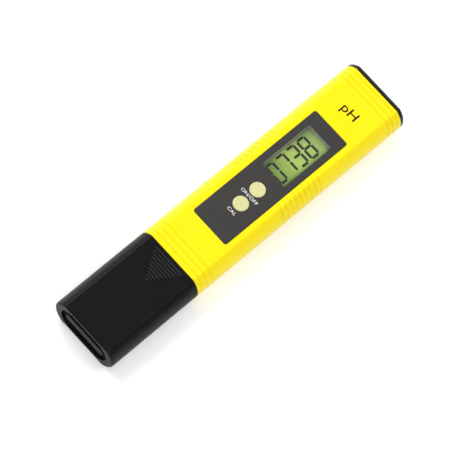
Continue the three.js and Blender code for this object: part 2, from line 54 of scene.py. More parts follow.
# ---------------------------------------------------------------- sizes
CASE_LOW, CASE_HIGH = span("front_shell")
CAP_LOW, CAP_HIGH = span("protective_cap")
END_LOW, END_HIGH = span("battery_cap")
HALF_WIDTH = CASE_HIGH.x
THICKNESS = CASE_HIGH.z
MID_Z = THICKNESS / 2
HALF_FLAT = 11.3
WALL = 1.35
SEAM = (span("rear_shell")[1].z + CASE_LOW.z) / 2
SEAM_GAP = 0.1
JOINT_GAP = 0.16
SIDE_REACH = HALF_WIDTH - HALF_FLAT
SIDE_RADIUS = (SIDE_REACH**2 + MID_Z**2) / (2 * SIDE_REACH)
SIDE_CENTRE = HALF_WIDTH - SIDE_RADIUS
CREASE = 0.55
CAP_WALL = 1.5
CAP_SHOULDER = (CAP_HIGH.y + CASE_LOW.y) / 2
END_SHOULDER = CASE_HIGH.y + 0.15

GROOVES = [-30.7, -28.1, -25.5, 67.4, 69.8, 72.2]
GROOVE_DEPTH, GROOVE_WIDTH = 0.36, 1.35
GRIPS = [11.75 + 2.45 * i for i in range(9)]
GRIP_DEPTH, GRIP_WIDTH = 0.5, 1.5
WINDOW_WIDTH, WINDOW_LENGTH = 12.1, 24.9
BUTTON_RADIUS, LABEL_HOLE_RADIUS, SHELL_HOLE_RADIUS = 3.15, 3.25, 3.4
CLEAR_OF_FRONT = THICKNESS + 2


# ---------------------------------------------------------------- meshes
def solid(name, shape):
    """A closed mesh from points in millimetres and faces, with its faces turned outwards."""
    points, faces = shape
    mesh = bpy.data.meshes.new(name)
    mesh.from_pydata([Vector(p) * MM for p in points], [], faces)
    thing = bpy.data.objects.new(name, mesh)
    bpy.context.scene.collection.objects.link(thing)
    clean(thing)
    return thing


def settle(thing, body, material, replaced=()):
    """Gives a finished piece its body and its material, and hides the CAD nodes that it stands for."""
    thing.data.materials.clear()
    thing.data.materials.append(material)
    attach(thing, body)
    if replaced:
        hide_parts(*replaced)
    return thing


def clean(thing, distance=1e-7):
    """Merges doubled vertices and turns all faces outwards."""
    work = bmesh.new()
    work.from_mesh(thing.data)
    bmesh.ops.remove_doubles(work, verts=work.verts, dist=distance)
    bmesh.ops.dissolve_degenerate(work, edges=work.edges, dist=distance)
    bmesh.ops.recalc_face_normals(work, faces=work.faces)
    work.to_mesh(thing.data)
    work.free()


def flatten(thing):
    """Joins neighbouring faces that lie in one plane into one face."""
    angle = 0.3
    work = bmesh.new()
    work.from_mesh(thing.data)
    bmesh.ops.dissolve_limit(
        work, angle_limit=math.radians(angle), verts=work.verts, edges=work.edges
    )
    work.to_mesh(thing.data)
    work.free()


def combine(thing, other, operation):
    """Adds another closed mesh to this one, or cuts it out, and removes the other."""
    modifier = thing.modifiers.new("combine", "BOOLEAN")
    modifier.object = other
    modifier.operation = operation
    modifier.solver = "EXACT"
    graph = bpy.context.evaluated_depsgraph_get()
    result = bpy.data.meshes.new_from_object(thing.evaluated_get(graph))
    thing.modifiers.clear()
    old = thing.data
    thing.data = result
    result.name = old.name
    bpy.data.meshes.remove(old)
    bpy.data.objects.remove(other)
    return thing


def cut(thing, *tools):
    """Cuts other closed meshes out of this one."""
    for tool in tools:
        combine(thing, tool, "DIFFERENCE")
    return thing


def join(thing, *others):
    """Adds other closed meshes to this one."""
    for other in others:
        combine(thing, other, "UNION")
    return thing


def soften(thing, width=0.12, segments=3, angle=38):
    """Rounds every edge sharper than the angle, and keeps the flat faces looking flat."""
    clean(thing)
    modifier = thing.modifiers.new("round_edges", "BEVEL")
    modifier.width = width * MM
    modifier.segments = segments
    modifier.limit_method = "ANGLE"
    modifier.angle_limit = math.radians(angle)
    modifier.use_clamp_overlap = True
    modifier.miter_outer = "MITER_ARC"
    smooth(thing)
    return thing


def smooth(thing, angle=50):
    """Shades the faces smoothly, except across edges sharper than the angle."""
    thing.data.polygons.foreach_set("use_smooth", [True] * len(thing.data.polygons))
    thing.data.set_sharp_from_angle(angle=math.radians(angle))
    normals = thing.modifiers.new("flat_faces", "WEIGHTED_NORMAL")
    normals.keep_sharp = True
    normals.weight = 60


def bridge(rings):
    """Faces between each ring of points and the next, and a face over the first and the last."""
    count = len(rings[0])
    points = [p for ring in rings for p in ring]
    faces = []
    for k in range(len(rings) - 1):
        for i in range(count):
            j = (i + 1) % count
            faces.append((k * count + i, k * count + j, (k + 1) * count + j, (k + 1) * count + i))
    faces.append(tuple(range(count)))
    faces.append(tuple((len(rings) - 1) * count + i for i in range(count)))
    return points, faces


def arc(centre, radius, start, end, steps):
    """Points on an arc in a plane, from the start angle to the end angle in degrees."""
    turn = [math.radians(start + (end - start) * i / steps) for i in range(steps + 1)]
    return [(centre[0] + radius * math.cos(t), centre[1] + radius * math.sin(t)) for t in turn]


def pen_outline(inset=0.0):
    """The pen's section as x, z points: flat front and back, round creases, and sides that are arcs."""
    crease = max(CREASE - inset, 0.04)
    radius = SIDE_RADIUS - inset
    half = MID_Z - inset
    reach = math.sqrt((radius - crease) ** 2 - (half - crease) ** 2)
    x = SIDE_CENTRE + reach
    tangent = math.degrees(math.atan2(half - crease, reach))
    side = arc((x, MID_Z - half + crease), crease, -90, -tangent, 5)
    side += arc((SIDE_CENTRE, MID_Z), radius, -tangent, tangent, 22)[1:-1]
    side += arc((x, MID_Z + half - crease), crease, tangent, 90, 5)
    return side + [(-px, pz) for px, pz in reversed(side)]


def stadium_outline(width, height, steps=16):
    """A section with straight front and back and half-round sides."""
    radius = height / 2
    reach = width / 2 - radius
    return arc((reach, MID_Z), radius, -90, 90, steps) + arc((-reach, MID_Z), radius, 90, 270, steps)


def along_y(outline_at, profile):
    """Rings for a solid along Y. The profile lists y and inset, and outline_at gives the section there."""
    return [[(x, y, z) for x, z in outline_at(inset)] for y, inset in profile]


def rounded_end(y, direction, radius, steps):
    """Profile points for a round edge that ends at y, from the side towards the end face."""
    turns = [math.radians(90 * i / steps) for i in range(steps + 1)]
    return [(y - direction * radius * (1 - math.sin(t)), radius * (1 - math.cos(t))) for t in turns]


def prism_y(outline, low, high, edge=0.0):
    """A closed prism along Y, whose ends can have rounded edges."""
    profile = [(low, 0), (high, 0)]
    if edge:
        profile = rounded_end(low, -1, edge, 4)[::-1] + rounded_end(high, 1, edge, 4)
    return bridge(along_y(lambda inset: shrink(outline, inset), profile))


def shrink(outline, inset):
    """Moves each point of a closed outline inwards, square to the outline there."""
    count = len(outline)
    area = sum(outline[i - 1][0] * outline[i][1] - outline[i][0] * outline[i - 1][1] for i in range(count))
    side = 1 if area > 0 else -1
    moved = []
    for i, (x, z) in enumerate(outline):
        (ax, az), (bx, bz) = outline[i - 1], outline[(i + 1) % count]
        dx, dz = bx - ax, bz - az
        size = math.hypot(dx, dz) or 1
        moved.append((x - side * inset * dz / size, z + side * inset * dx / size))
    return moved


def plate_outline(width, length, corner, x=0.0, y=0.0, steps=6):
    """A rectangle with round corners, as x, y points."""
    right, top = x + width / 2 - corner, y + length / 2 - corner
    left, low = x - width / 2 + corner, y - length / 2 + corner
    outline = arc((right, low), corner, -90, 0, steps) + arc((right, top), corner, 0, 90, steps)
    return outline + arc((left, top), corner, 90, 180, steps) + arc((left, low), corner, 180, 270, steps)


def node_outline(node, corner, extra=0.0, steps=6):
    """A rectangle with round corners over a CAD node, larger than it by extra, as x, y points."""
    low, high = span(node)
    width, length = high.x - low.x + extra, high.y - low.y + extra
    return plate_outline(width, length, corner, 0, (low.y + high.y) / 2, steps)


def plate(outline, low, high):
    """A closed plate with an x, y outline, between two heights."""
    return bridge([[(x, y, z) for x, y in outline] for z in (low, high)])


def turned(profile, place, axis="z", segments=48):
    """A solid of revolution. The profile lists radius and height.

    It starts and ends on the axis, or else it closes on itself."""
    points, faces, rings = [], [], []
    x0, y0, z0 = place

    def put(radius, height, turn):
        a, b = radius * math.cos(turn), radius * math.sin(turn)
        local = {"z": (a, b, height), "y": (b, height, a), "x": (height, a, b)}[axis]
        return (x0 + local[0], y0 + local[1], z0 + local[2])

    for radius, height in profile:
        if radius < 1e-6:
            rings.append([len(points)])
            points.append(put(0, height, 0))
            continue
        rings.append(list(range(len(points), len(points) + segments)))
        points += [put(radius, height, 2 * math.pi * i / segments) for i in range(segments)]
    closed = len(rings[0]) > 1
    for one, two in zip(rings, rings[1:] + ([rings[0]] if closed else [])):
        for i in range(segments):
            j = (i + 1) % segments
            if len(one) == 1:
                faces.append((one[0], two[j], two[i]))
            elif len(two) == 1:
                faces.append((one[i], one[j], two[0]))
            else:
                faces.append((one[i], one[j], two[j], two[i]))
    return points, faces


# ---------------------------------------------------------------- materials
def shader(name, color, roughness, **settings):
    """A new material with a Principled shader, and its node tree's helpers."""
    material = bpy.data.materials.new(name)
    material.use_nodes = True
    nodes = material.node_tree.nodes
    principled = nodes["Principled BSDF"]
    principled.inputs["Base Color"].default_value = (*color, 1)
    principled.inputs["Roughness"].default_value = roughness
    for socket, value in settings.items():
        principled.inputs[socket.replace("_", " ")].default_value = value
    return material, nodes, material.node_tree.links, principled


def noise(nodes, links, size_mm, detail=3.0, stretch=None):
    """Noise whose blobs are about size_mm across, in the object's own space.

    Stretch scales the noise on each axis."""
    place = nodes.new("ShaderNodeTexCoord")
    texture = nodes.new("ShaderNodeTexNoise")
    texture.inputs["Scale"].default_value = 1 / (size_mm * MM)
    texture.inputs["Detail"].default_value = detail
    source = place.outputs["Object"]
    if stretch:
        mapping = nodes.new("ShaderNodeMapping")
        mapping.inputs["Scale"].default_value = stretch
        links.new(source, mapping.inputs["Vector"])
        source = mapping.outputs["Vector"]
    links.new(source, texture.inputs["Vector"])
    return texture.outputs["Fac"]


def remap(nodes, links, source, low, high, start=0.35, end=0.65):
    """A value that runs from low to high as the source runs from start to end."""
    node = nodes.new("ShaderNodeMapRange")
    node.inputs["From Min"].default_value = start
    node.inputs["From Max"].default_value = end
    node.inputs["To Min"].default_value = low
    node.inputs["To Max"].default_value = high
    links.new(source, node.inputs["Value"])
    return node.outputs["Result"]


def blend_colors(nodes, links, factor, first, second):
    """A mix of two colours, where the first may be the result of another mix."""
    node = nodes.new("ShaderNodeMix")
    node.data_type = "RGBA"
    links.new(factor, node.inputs["Factor"])
    if isinstance(first, tuple):
        node.inputs["A"].default_value = (*first, 1)
    else:
        links.new(first, node.inputs["A"])
    node.inputs["B"].default_value = (*second, 1)
    return node.outputs["Result"]


def relief(nodes, links, principled, height, depth_mm, strength):
    """Fine bumps from a height between 0 and 1."""
    bump = nodes.new("ShaderNodeBump")
    bump.inputs["Strength"].default_value = strength
    bump.inputs["Distance"].default_value = depth_mm * MM
    links.new(height, bump.inputs["Height"])
    links.new(bump.outputs["Normal"], principled.inputs["Normal"])


def moulded(name, color, roughness, grain_mm, depth_mm, spread, drift, **settings):
    """Moulded plastic: a fine grain, slow shade drift, faint handling marks and uneven gloss."""
    material, nodes, links, principled = shader(name, color, roughness, **settings)
    slow = noise(nodes, links, 22)
    tone = blend_colors(
        nodes, links, remap(nodes, links, slow, 0, 1), tuple(c * (1 - drift) for c in color), color
    )
    links.new(tone, principled.inputs["Base Color"])
    marks = noise(nodes, links, 1.6, 4, stretch=(1, 0.16, 1))
    gloss = remap(nodes, links, marks, roughness - spread, roughness + spread, 0.3, 0.7)
    links.new(gloss, principled.inputs["Roughness"])
    grain = noise(nodes, links, grain_mm, 2)
    relief(nodes, links, principled, grain, depth_mm, 0.6)
    return material


def metal(name, color, roughness, stretch):
    """Metal with a fine brushed grain, drawn out by the stretch."""
    material, nodes, links, principled = shader(name, color, roughness, Metallic=1.0)
    brushed = noise(nodes, links, 0.3, 3, stretch=stretch)
    links.new(
        remap(nodes, links, brushed, roughness * 0.75, roughness * 1.35), principled.inputs["Roughness"]
    )
    tone = blend_colors(
        nodes, links, remap(nodes, links, noise(nodes, links, 3), 0, 1), tuple(c * 0.88 for c in color), color
    )
    links.new(tone, principled.inputs["Base Color"])
    relief(nodes, links, principled, brushed, 0.002, 0.4)
    return material


def display_green():
    """The display's reflective layer, with a very fine grain.

    It is darker at its low end and towards its right edge, which is painted shade from the recess walls, and
    has a dull strip along its left edge."""
    material, nodes, links, principled = shader(
        "display_green", (0.3, 0.52, 0.1), 0.32, Coat_Weight=0.4, Coat_Roughness=0.08
    )
    place = nodes.new("ShaderNodeTexCoord")
    split = nodes.new("ShaderNodeSeparateXYZ")
    links.new(place.outputs["Object"], split.inputs["Vector"])
    low, high = span("lcd_panel")
    along = remap(nodes, links, split.outputs["Y"], 0, 1, low.y * MM, high.y * MM)
    # Painted shade: the dark green at the low end stands for the shade beside the recess wall there.
    low_end_shade = remap(nodes, links, along, 0, 1, 0, 0.45)
    fade = remap(nodes, links, along, 0, 1, 0.6, 1)
    tone = blend_colors(nodes, links, low_end_shade, (0.07, 0.18, 0.006), (0.355, 0.475, 0.09))
    tone = blend_colors(nodes, links, fade, tone, (0.285, 0.43, 0.12))
    # Painted shade: the dark green towards the right edge stands for the shade beside the recess wall.
    right = remap(nodes, links, split.outputs["X"], 0, 0.7, 4.4 * MM, 6.2 * MM)
    tone = blend_colors(nodes, links, right, tone, (0.07, 0.19, 0.015))
    strip = remap(nodes, links, split.outputs["X"], 0.8, 0, -5.55 * MM, -5.3 * MM)
    tone = blend_colors(nodes, links, strip, tone, (0.12, 0.15, 0.11))
    patch = remap(nodes, links, noise(nodes, links, 5), 0.92, 1.06)
    shade = nodes.new("ShaderNodeVectorMath")
    shade.operation = "SCALE"
    links.new(tone, shade.inputs["Vector"])
    links.new(patch, shade.inputs["Scale"])
    links.new(shade.outputs["Vector"], principled.inputs["Base Color"])
    relief(nodes, links, principled, noise(nodes, links, 0.08, 1), 0.003, 0.4)
    return material


def circuit_green():
    """Solder mask over copper tracks."""
    material, nodes, links, principled = shader("circuit_green", (0.02, 0.13, 0.045), 0.35)
    place = nodes.new("ShaderNodeTexCoord")
    tracks = nodes.new("ShaderNodeTexBrick")
    tracks.inputs["Scale"].default_value = 1 / (6 * MM)
    tracks.inputs["Mortar Size"].default_value = 0.03
    links.new(place.outputs["Object"], tracks.inputs["Vector"])
    tone = blend_colors(nodes, links, tracks.outputs["Fac"], (0.015, 0.1, 0.035), (0.04, 0.22, 0.07))
    links.new(tone, principled.inputs["Base Color"])
    links.new(remap(nodes, links, noise(nodes, links, 1.2), 0.28, 0.45), principled.inputs["Roughness"])
    relief(nodes, links, principled, tracks.outputs["Fac"], 0.03, 0.7)
    return material


def clear_plastic():
    """The thin window over the display."""
    material, nodes, links, principled = shader(
        "clear_window", (0.1, 0.12, 0.1), 0.06, Alpha=0.08, IOR=1.49
    )
    smear = noise(nodes, links, 4, 3)
    links.new(remap(nodes, links, smear, 0.04, 0.1), principled.inputs["Roughness"])
    return material


def electrode_glass():
    """The probe's glass, slightly uneven."""
    material, nodes, links, principled = shader(
        "electrode_glass", (0.93, 0.97, 0.97), 0.02, Transmission_Weight=1.0, IOR=1.47
    )
    ripple = noise(nodes, links, 2.5, 2)
    links.new(remap(nodes, links, ripple, 0.01, 0.05), principled.inputs["Roughness"])
    relief(nodes, links, principled, ripple, 0.01, 0.2)
    return material


def floor_material():
    """A matt, nearly white surface."""
    material, nodes, links, principled = shader("floor_pale", (0.92, 0.92, 0.92), 0.7)
    slow = remap(nodes, links, noise(nodes, links, 60), 0, 1)
    links.new(
        blend_colors(nodes, links, slow, (0.9, 0.9, 0.9), (0.93, 0.93, 0.93)), principled.inputs["Base Color"]
    )
    return material


YELLOW_TINT = (1.0, 0.86, 0.2, 1)
LOOKS = {
    "yellow": moulded(
        "case_yellow", (0.72, 0.58, 0.006), 0.38, grain_mm=0.22, depth_mm=0.004, spread=0.03, drift=0.03,
        Specular_Tint=YELLOW_TINT, Specular_IOR_Level=0.35,
    ),
    "black": moulded(
        "cap_black", (0.0036, 0.0036, 0.004), 0.44, grain_mm=0.16, depth_mm=0.008, spread=0.035, drift=0.12,
        Specular_IOR_Level=0.06, Coat_Weight=0.14, Coat_Roughness=0.2,
    ),
    # The ribs' black is a little lighter than the cap's: painted sheen for the light that their slopes catch.
    "ribs": moulded(
        "cap_ribs", (0.0055, 0.0055, 0.006), 0.3, grain_mm=0.16, depth_mm=0.002, spread=0.03, drift=0.12,
        Specular_IOR_Level=0.36,
    ),
    "end_black": moulded(
        "end_cap_black", (0.006, 0.006, 0.0065), 0.3, grain_mm=0.16, depth_mm=0.005, spread=0.03, drift=0.12,
        Specular_IOR_Level=0.3,
    ),
    "inner": moulded(
        "inner_black", (0.02, 0.02, 0.021), 0.5, grain_mm=0.2, depth_mm=0.01, spread=0.06, drift=0.15,
    ),
    "label": moulded(
        "label_film", (0.021, 0.0195, 0.018), 0.34, grain_mm=0.1, depth_mm=0.002, spread=0.012, drift=0.04,
    ),
    "cream": moulded(
        "button_cream", (0.485, 0.47, 0.22), 0.42, grain_mm=0.2, depth_mm=0.006, spread=0.05, drift=0.04,
    ),
    "frame": moulded(
        "display_frame", (0.36, 0.37, 0.36), 0.5, grain_mm=0.2, depth_mm=0.006, spread=0.05, drift=0.08,
    ),
    "white_ink": moulded(
        "print_white", (0.68, 0.68, 0.68), 0.5, grain_mm=0.05, depth_mm=0.002, spread=0.05, drift=0.1,
    ),
    "dark_ink": moulded(
        "print_dark", (0.007, 0.004, 0.002), 0.5, grain_mm=0.05, depth_mm=0.002, spread=0.05, drift=0.2,
        Specular_IOR_Level=0.15,
    ),
    "lcd_ink": moulded(
        "display_ink", (0.004, 0.008, 0.003), 0.3, grain_mm=0.1, depth_mm=0.001, spread=0.04, drift=0.2,
    ),
    "display": display_green(),
    "window": clear_plastic(),
    "glass": electrode_glass(),
    "board": circuit_green(),
    "chip": moulded(
        "chip_resin", (0.02, 0.02, 0.022), 0.6, grain_mm=0.08, depth_mm=0.012, spread=0.08, drift=0.2,
    ),
    "ceramic": moulded(
        "part_ceramic", (0.62, 0.52, 0.36), 0.75, grain_mm=0.12, depth_mm=0.02, spread=0.08, drift=0.15,
    ),
    "rubber": moulded(
        "seal_rubber", (0.018, 0.018, 0.018), 0.65, grain_mm=0.3, depth_mm=0.01, spread=0.08, drift=0.2,
    ),
    "red": moulded(
        "sleeve_red", (0.5, 0.03, 0.02), 0.4, grain_mm=0.3, depth_mm=0.005, spread=0.06, drift=0.1,
    ),
    "sleeve": moulded(
        "sleeve_black", (0.02, 0.02, 0.02), 0.4, grain_mm=0.3, depth_mm=0.005, spread=0.06, drift=0.1,
    ),
    "gasket": moulded(
        "cell_gasket", (0.05, 0.05, 0.055), 0.55, grain_mm=0.2, depth_mm=0.005, spread=0.05, drift=0.1,
    ),
    "steel": metal("steel_plated", (0.62, 0.62, 0.63), 0.24, (1, 6, 1)),
    "cell": metal("cell_can", (0.7, 0.7, 0.71), 0.2, (6, 1, 1)),
    "silver": metal("silver_wire", (0.78, 0.75, 0.7), 0.3, (1, 0.2, 1)),
}


def dress(look, *nodes):
    """Gives CAD nodes that stay as they are a full material."""
    for name in nodes:
        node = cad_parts[name]
        node.data.materials.clear()
        node.data.materials.append(LOOKS[look])


# ---------------------------------------------------------------- case
def dip(y, places, width):
    """How far down a smooth groove is at y: 0 outside the grooves at these places, and 1 in their middles."""
    nearest = min(abs(y - place) for place in places)
    if nearest >= width / 2:
        return 0.0
    return 0.5 * (1 + math.cos(2 * math.pi * nearest / width))


def case_stations():
    """Places along the case where its skin needs a ring: its ends, and many at each groove."""
    low, high = CAP_SHOULDER + JOINT_GAP / 2, END_SHOULDER - JOINT_GAP / 2
    places = [low, high]
    for groove, width in [(g, GROOVE_WIDTH) for g in GROOVES] + [(g, GRIP_WIDTH) for g in GRIPS]:
        places += [groove + width * (k / 10 - 0.5) for k in range(11)]
    return sorted(places)


def points_between(outline, low, high):
    """The indexes of the outline's points between two heights, in order from one seam to the other."""
    count = len(outline)
    chosen = [i for i in range(count) if low < outline[i][1] < high]
    start = next(k for k, i in enumerate(chosen) if (i - 1) % count not in chosen)
    return chosen[start:] + chosen[:start]


def at_height(outline, i, j, height):
    """The point where the outline passes this height, between two of its points."""
    (ax, az), (bx, bz) = outline[i], outline[j]
    share = (height - az) / (bz - az)
    return (ax + (bx - ax) * share, height)


def half_shell(name, low, high):
    """Half of the case: skin, inner wall, two ends and two long seam edges, all in quads."""
    outer = pen_outline()
    chosen = points_between(outer, low, high)
    count = len(outer)
    edge = low if low > 0 else high

    def trace(outline):
        """The half's part of an outline, which starts and ends at the height of the seam."""
        first, last = chosen[0], chosen[-1]
        before, after = (first - 1) % count, (last + 1) % count
        run = [outline[i] for i in chosen]
        return [at_height(outline, before, first, edge)] + run + [at_height(outline, last, after, edge)]

    skin, wall = trace(outer), trace(pen_outline(WALL))
    grip, ring = trace(pen_outline(GRIP_DEPTH)), trace(pen_outline(GROOVE_DEPTH))
    # The grips run out over a short stretch where the sides meet the flats.
    fade_start, fade_width = HALF_FLAT - 0.4, 0.9
    share = [min(1.0, max(0.0, (abs(x) - fade_start) / fade_width)) for x, _ in skin]
    stations = case_stations()
    size = len(skin)
    points = []
    for y in stations:
        all_round = dip(y, GROOVES, GROOVE_WIDTH)
        on_side = dip(y, GRIPS, GRIP_WIDTH)
        for i in range(size):
            x = skin[i][0] + (ring[i][0] - skin[i][0]) * all_round
            z = skin[i][1] + (ring[i][1] - skin[i][1]) * all_round
            x += (grip[i][0] - skin[i][0]) * on_side * share[i]
            z += (grip[i][1] - skin[i][1]) * on_side * share[i]
            points.append((x, y, z))
        points += [(x, y, z) for x, z in wall]
    row = 2 * size
    faces = []
    for k in range(len(stations) - 1):
        a, b = k * row, (k + 1) * row
        for i in range(size - 1):
            faces.append((a + i, a + i + 1, b + i + 1, b + i))
            faces.append((a + size + i, b + size + i, b + size + i + 1, a + size + i + 1))
        faces.append((a, b, b + size, a + size))
        faces.append((a + size - 1, a + row - 1, b + row - 1, b + size - 1))
    for a in (0, (len(stations) - 1) * row):
        faces += [(a + i, a + i + 1, a + size + i + 1, a + size + i) for i in range(size - 1)]
    return solid(name, (points, faces))


BUTTON_NAMES = ("power_button", "cal_button")
SCREWS = range(1, 5)
CELLS = range(1, 5)


def button_place(name):
    """The middle of a button's top."""
    low, high = span(name)
    return (low.x + high.x) / 2, (low.y + high.y) / 2, high.z


def button_hole(name, radius):
    """A bar to cut a button's round hole with."""
    x, y, _ = button_place(name)
    profile = [(0, MID_Z), (radius, MID_Z), (radius, CLEAR_OF_FRONT), (0, CLEAR_OF_FRONT)]
    return solid("hole", turned(profile, (x, y, 0), segments=64))


def add_screw_boss(shell, screw):
    """Joins a boss to the shell for one of the board's screws, and cuts its pilot hole."""
    low, high = span(screw)
    x, y = (low.x + high.x) / 2, (low.y + high.y) / 2
    top, foot = THICKNESS - WALL, span("main_board")[1].z + 0.15
    radius, pilot_radius = 2.2, 1
    boss = [(0, foot), (radius - 0.1, foot), (radius, foot + 0.1), (radius, top + 0.3), (0, top + 0.3)]
    join(shell, solid("boss", turned(boss, (x, y, 0))))
    pilot = [(0, foot - 1), (pilot_radius, foot - 1), (pilot_radius, top - 1), (0, top - 0.6)]
    cut(shell, solid("pilot", turned(pilot, (x, y, 0), segments=24)))


def front_shell():
    shell = half_shell("case_front", SEAM + SEAM_GAP / 2, THICKNESS + 1)
    flatten(shell)
    label_foot = span("front_label")[0].z
    recess = node_outline("front_label", 1.05, 0.2)
    cut(shell, solid("recess", plate(recess, label_foot - 0.1, CLEAR_OF_FRONT)))
    opening = node_outline("display_window", 0.8, 1)
    cut(shell, solid("opening", plate(opening, MID_Z, CLEAR_OF_FRONT)))
    for name in BUTTON_NAMES:
        cut(shell, button_hole(name, SHELL_HOLE_RADIUS))
    for number in SCREWS:
        add_screw_boss(shell, f"board_screw_{number}")
    soften(shell, 0.12, 3)
    return settle(shell, "tester", LOOKS["yellow"], ["front_shell"])


def rear_shell():
    shell = half_shell("case_rear", -1, SEAM - SEAM_GAP / 2)
    flatten(shell)
    rib_width, rib_thickness, rib_top = 18, 1.2, 3.6
    for y in (-10, 14, 38):
        rib = plate(plate_outline(rib_width, rib_thickness, 0.2, 0, y, 3), WALL - 0.3, rib_top)
        join(shell, solid("rib", rib))
    soften(shell, 0.12, 3)
    return settle(shell, "tester", LOOKS["yellow"], ["rear_shell"])


# ---------------------------------------------------------------- caps
def cap_ribs():
    """The arrow of fine raised ribs on the cap, which points at its closed end."""
    count, base, tip, half_base = 10, -34.8, -47.3, 7.4
    radius, sunk, root = 0.3, 0.06, 0.8
    points, faces = [], []
    for i in range(count):
        half = half_base * (1 - i / count)
        y = base + (tip - base) * i / count
        ridge = arc((y, THICKNESS - sunk), radius, 0, 180, 10)
        ridge += [(y - radius, THICKNESS - root), (y + radius, THICKNESS - root)]
        more, sides = bridge([[(x, py, pz) for py, pz in ridge] for x in (-half, half)])
        faces += [tuple(k + len(points) for k in side) for side in sides]
        points += more
    ribs = solid("cap_arrow", (points, faces))
    soften(ribs, 0.06, 2, 60)
    # The ribs' material is a lighter copy of the cap's black, painted sheen.
    return settle(ribs, "probe_cap", LOOKS["ribs"])


def protective_cap():
    """The probe's cap, with a trench round a raised island in its closed end."""
    rim = CAP_LOW.y
    mouth = CAP_SHOULDER - JOINT_GAP / 2
    floor = rim + 2.8
    trench_depth, island_recess = 1.3, 0.4
    profile = rounded_end(rim, -1, 0.9, 6)[::-1]
    profile += rounded_end(mouth, 1, 0.15, 3)
    profile += [(mouth, CAP_WALL - 0.25), (mouth - 0.35, CAP_WALL)]
    profile += [(floor + 0.6, CAP_WALL), (floor + 0.15, CAP_WALL + 0.15), (floor, CAP_WALL + 0.6)]
    shell = solid("probe_cap", bridge(along_y(pen_outline, profile)))
    trench = prism_y(stadium_outline(24, 11.4), rim - 2, rim + trench_depth)
    cut(shell, solid("trench", trench))
    island = prism_y(stadium_outline(20.4, 3.8), rim + island_recess, rim + trench_depth + 0.5, 0.4)
    join(shell, solid("island", island))
    soften(shell, 0.14, 3)
    return settle(shell, "probe_cap", LOOKS["black"], ["protective_cap"])


def battery_cap():
    """The end cap, with a hollow plug that goes into the case."""
    shoulder = END_SHOULDER + JOINT_GAP / 2
    plug = END_LOW.y
    plug_inset = 1.65
    profile = [(plug + 2.6, 3.2), (plug + 0.15, 3.1), (plug, 2.9), (plug, plug_inset + 0.2)]
    profile += [(plug + 0.2, plug_inset), (shoulder, plug_inset), (shoulder, 0.12), (shoulder + 0.12, 0)]
    profile += rounded_end(END_HIGH.y, 1, 1, 8)
    shell = solid("end_cap", bridge(along_y(pen_outline, profile)))
    soften(shell, 0.1, 2, 60)
    return settle(shell, "end_cap", LOOKS["end_black"], ["battery_cap"])


# ---------------------------------------------------------------- front panel
def front_label():
    low, high = span("front_label")
    label = solid("label_plate", plate(node_outline("front_label", 0.7, steps=8), low.z, high.z))
    low, high = span("lcd_panel")
    window = plate_outline(WINDOW_WIDTH, WINDOW_LENGTH, 0.3, 0, (low.y + high.y) / 2, 4)
    cut(label, solid("hole", plate(window, MID_Z, CLEAR_OF_FRONT)))
    for name in BUTTON_NAMES:
        cut(label, button_hole(name, LABEL_HOLE_RADIUS))
    soften(label, 0.06, 2)
    return settle(label, "tester", LOOKS["label"], ["front_label"])


def press_button(name):
    """A round cap with a shallow dish, a fillet at its rim, a retaining flange and a stem."""
    foot = span(name)[0].z
    x, y, top = button_place(name)
    fillet = 0.35
    flange, flange_thickness, flange_radius = THICKNESS - WALL - 0.15, 0.4, 3.95
    stem_radius = 1.5
    profile = [(0, top - 0.12), (1.4, top - 0.09), (2.3, top - 0.02), (2.6, top)]
    for turn in (0, 22, 45, 67, 90):
        t = math.radians(turn)
        profile.append((BUTTON_RADIUS - fillet + fillet * math.sin(t), top - fillet + fillet * math.cos(t)))
    profile += [(BUTTON_RADIUS, flange), (flange_radius, flange)]
    profile += [(flange_radius, flange - flange_thickness), (stem_radius, flange - flange_thickness)]
    profile += [(stem_radius, foot + 0.1), (stem_radius - 0.1, foot), (0, foot)]
    button = solid(f"{name}_cap", turned(profile, (x, y, 0), segments=64))
    smooth(button, 40)
    return settle(button, name, LOOKS["cream"], [name])


def display_window():
    low, high = span("display_window")
    window = solid("clear_window", plate(node_outline("display_window", 0.5), low.z, high.z))
    soften(window, 0.08, 2)
    return settle(window, "tester", LOOKS["window"], ["display_window"])


def lcd_frame():
    """The display's holder: a collar up to the window, a seat for the window and a pocket for the cell."""
    low, high = span("lcd_frame")
    middle = (low.y + high.y) / 2
    rim = THICKNESS - WALL - 0.15
    holder = solid("display_frame", plate(node_outline("lcd_frame", 0.8), low.z, rim))
    window_low, window_high = span("display_window")
    window_size = window_high - window_low
    collar = plate_outline(window_size.x + 0.8, window_size.y + 0.8, 0.7, 0, middle)
    join(holder, solid("collar", plate(collar, rim - 1, window_high.z)))
    aperture = plate_outline(WINDOW_WIDTH, WINDOW_LENGTH, 0.3, 0, middle)
    cut(holder, solid("hole", plate(aperture, low.z - 1, THICKNESS)))
    seat = plate_outline(window_size.x + 0.1, window_size.y + 0.1, 0.5, 0, middle)
    cut(holder, solid("seat", plate(seat, window_low.z - 0.05, THICKNESS)))
    glass_low, glass_high = span("lcd_panel")
    glass_width, glass_length = glass_high.x - glass_low.x, glass_high.y - glass_low.y
    pocket = plate_outline(glass_width + 0.4, glass_length + 0.4, 0.3, 0, middle)
    cut(holder, solid("pocket", plate(pocket, low.z - 1, glass_high.z + 0.12)))
    soften(holder, 0.1, 2)
    return settle(holder, "tester", LOOKS["frame"], ["lcd_frame"])


def lcd_cell():
    low, high = span("lcd_panel")
    cell = solid("display_cell", plate(node_outline("lcd_panel", 0.2, steps=3), low.z, high.z))
    soften(cell, 0.08, 2)
    return settle(cell, "tester", LOOKS["display"], ["lcd_panel"])


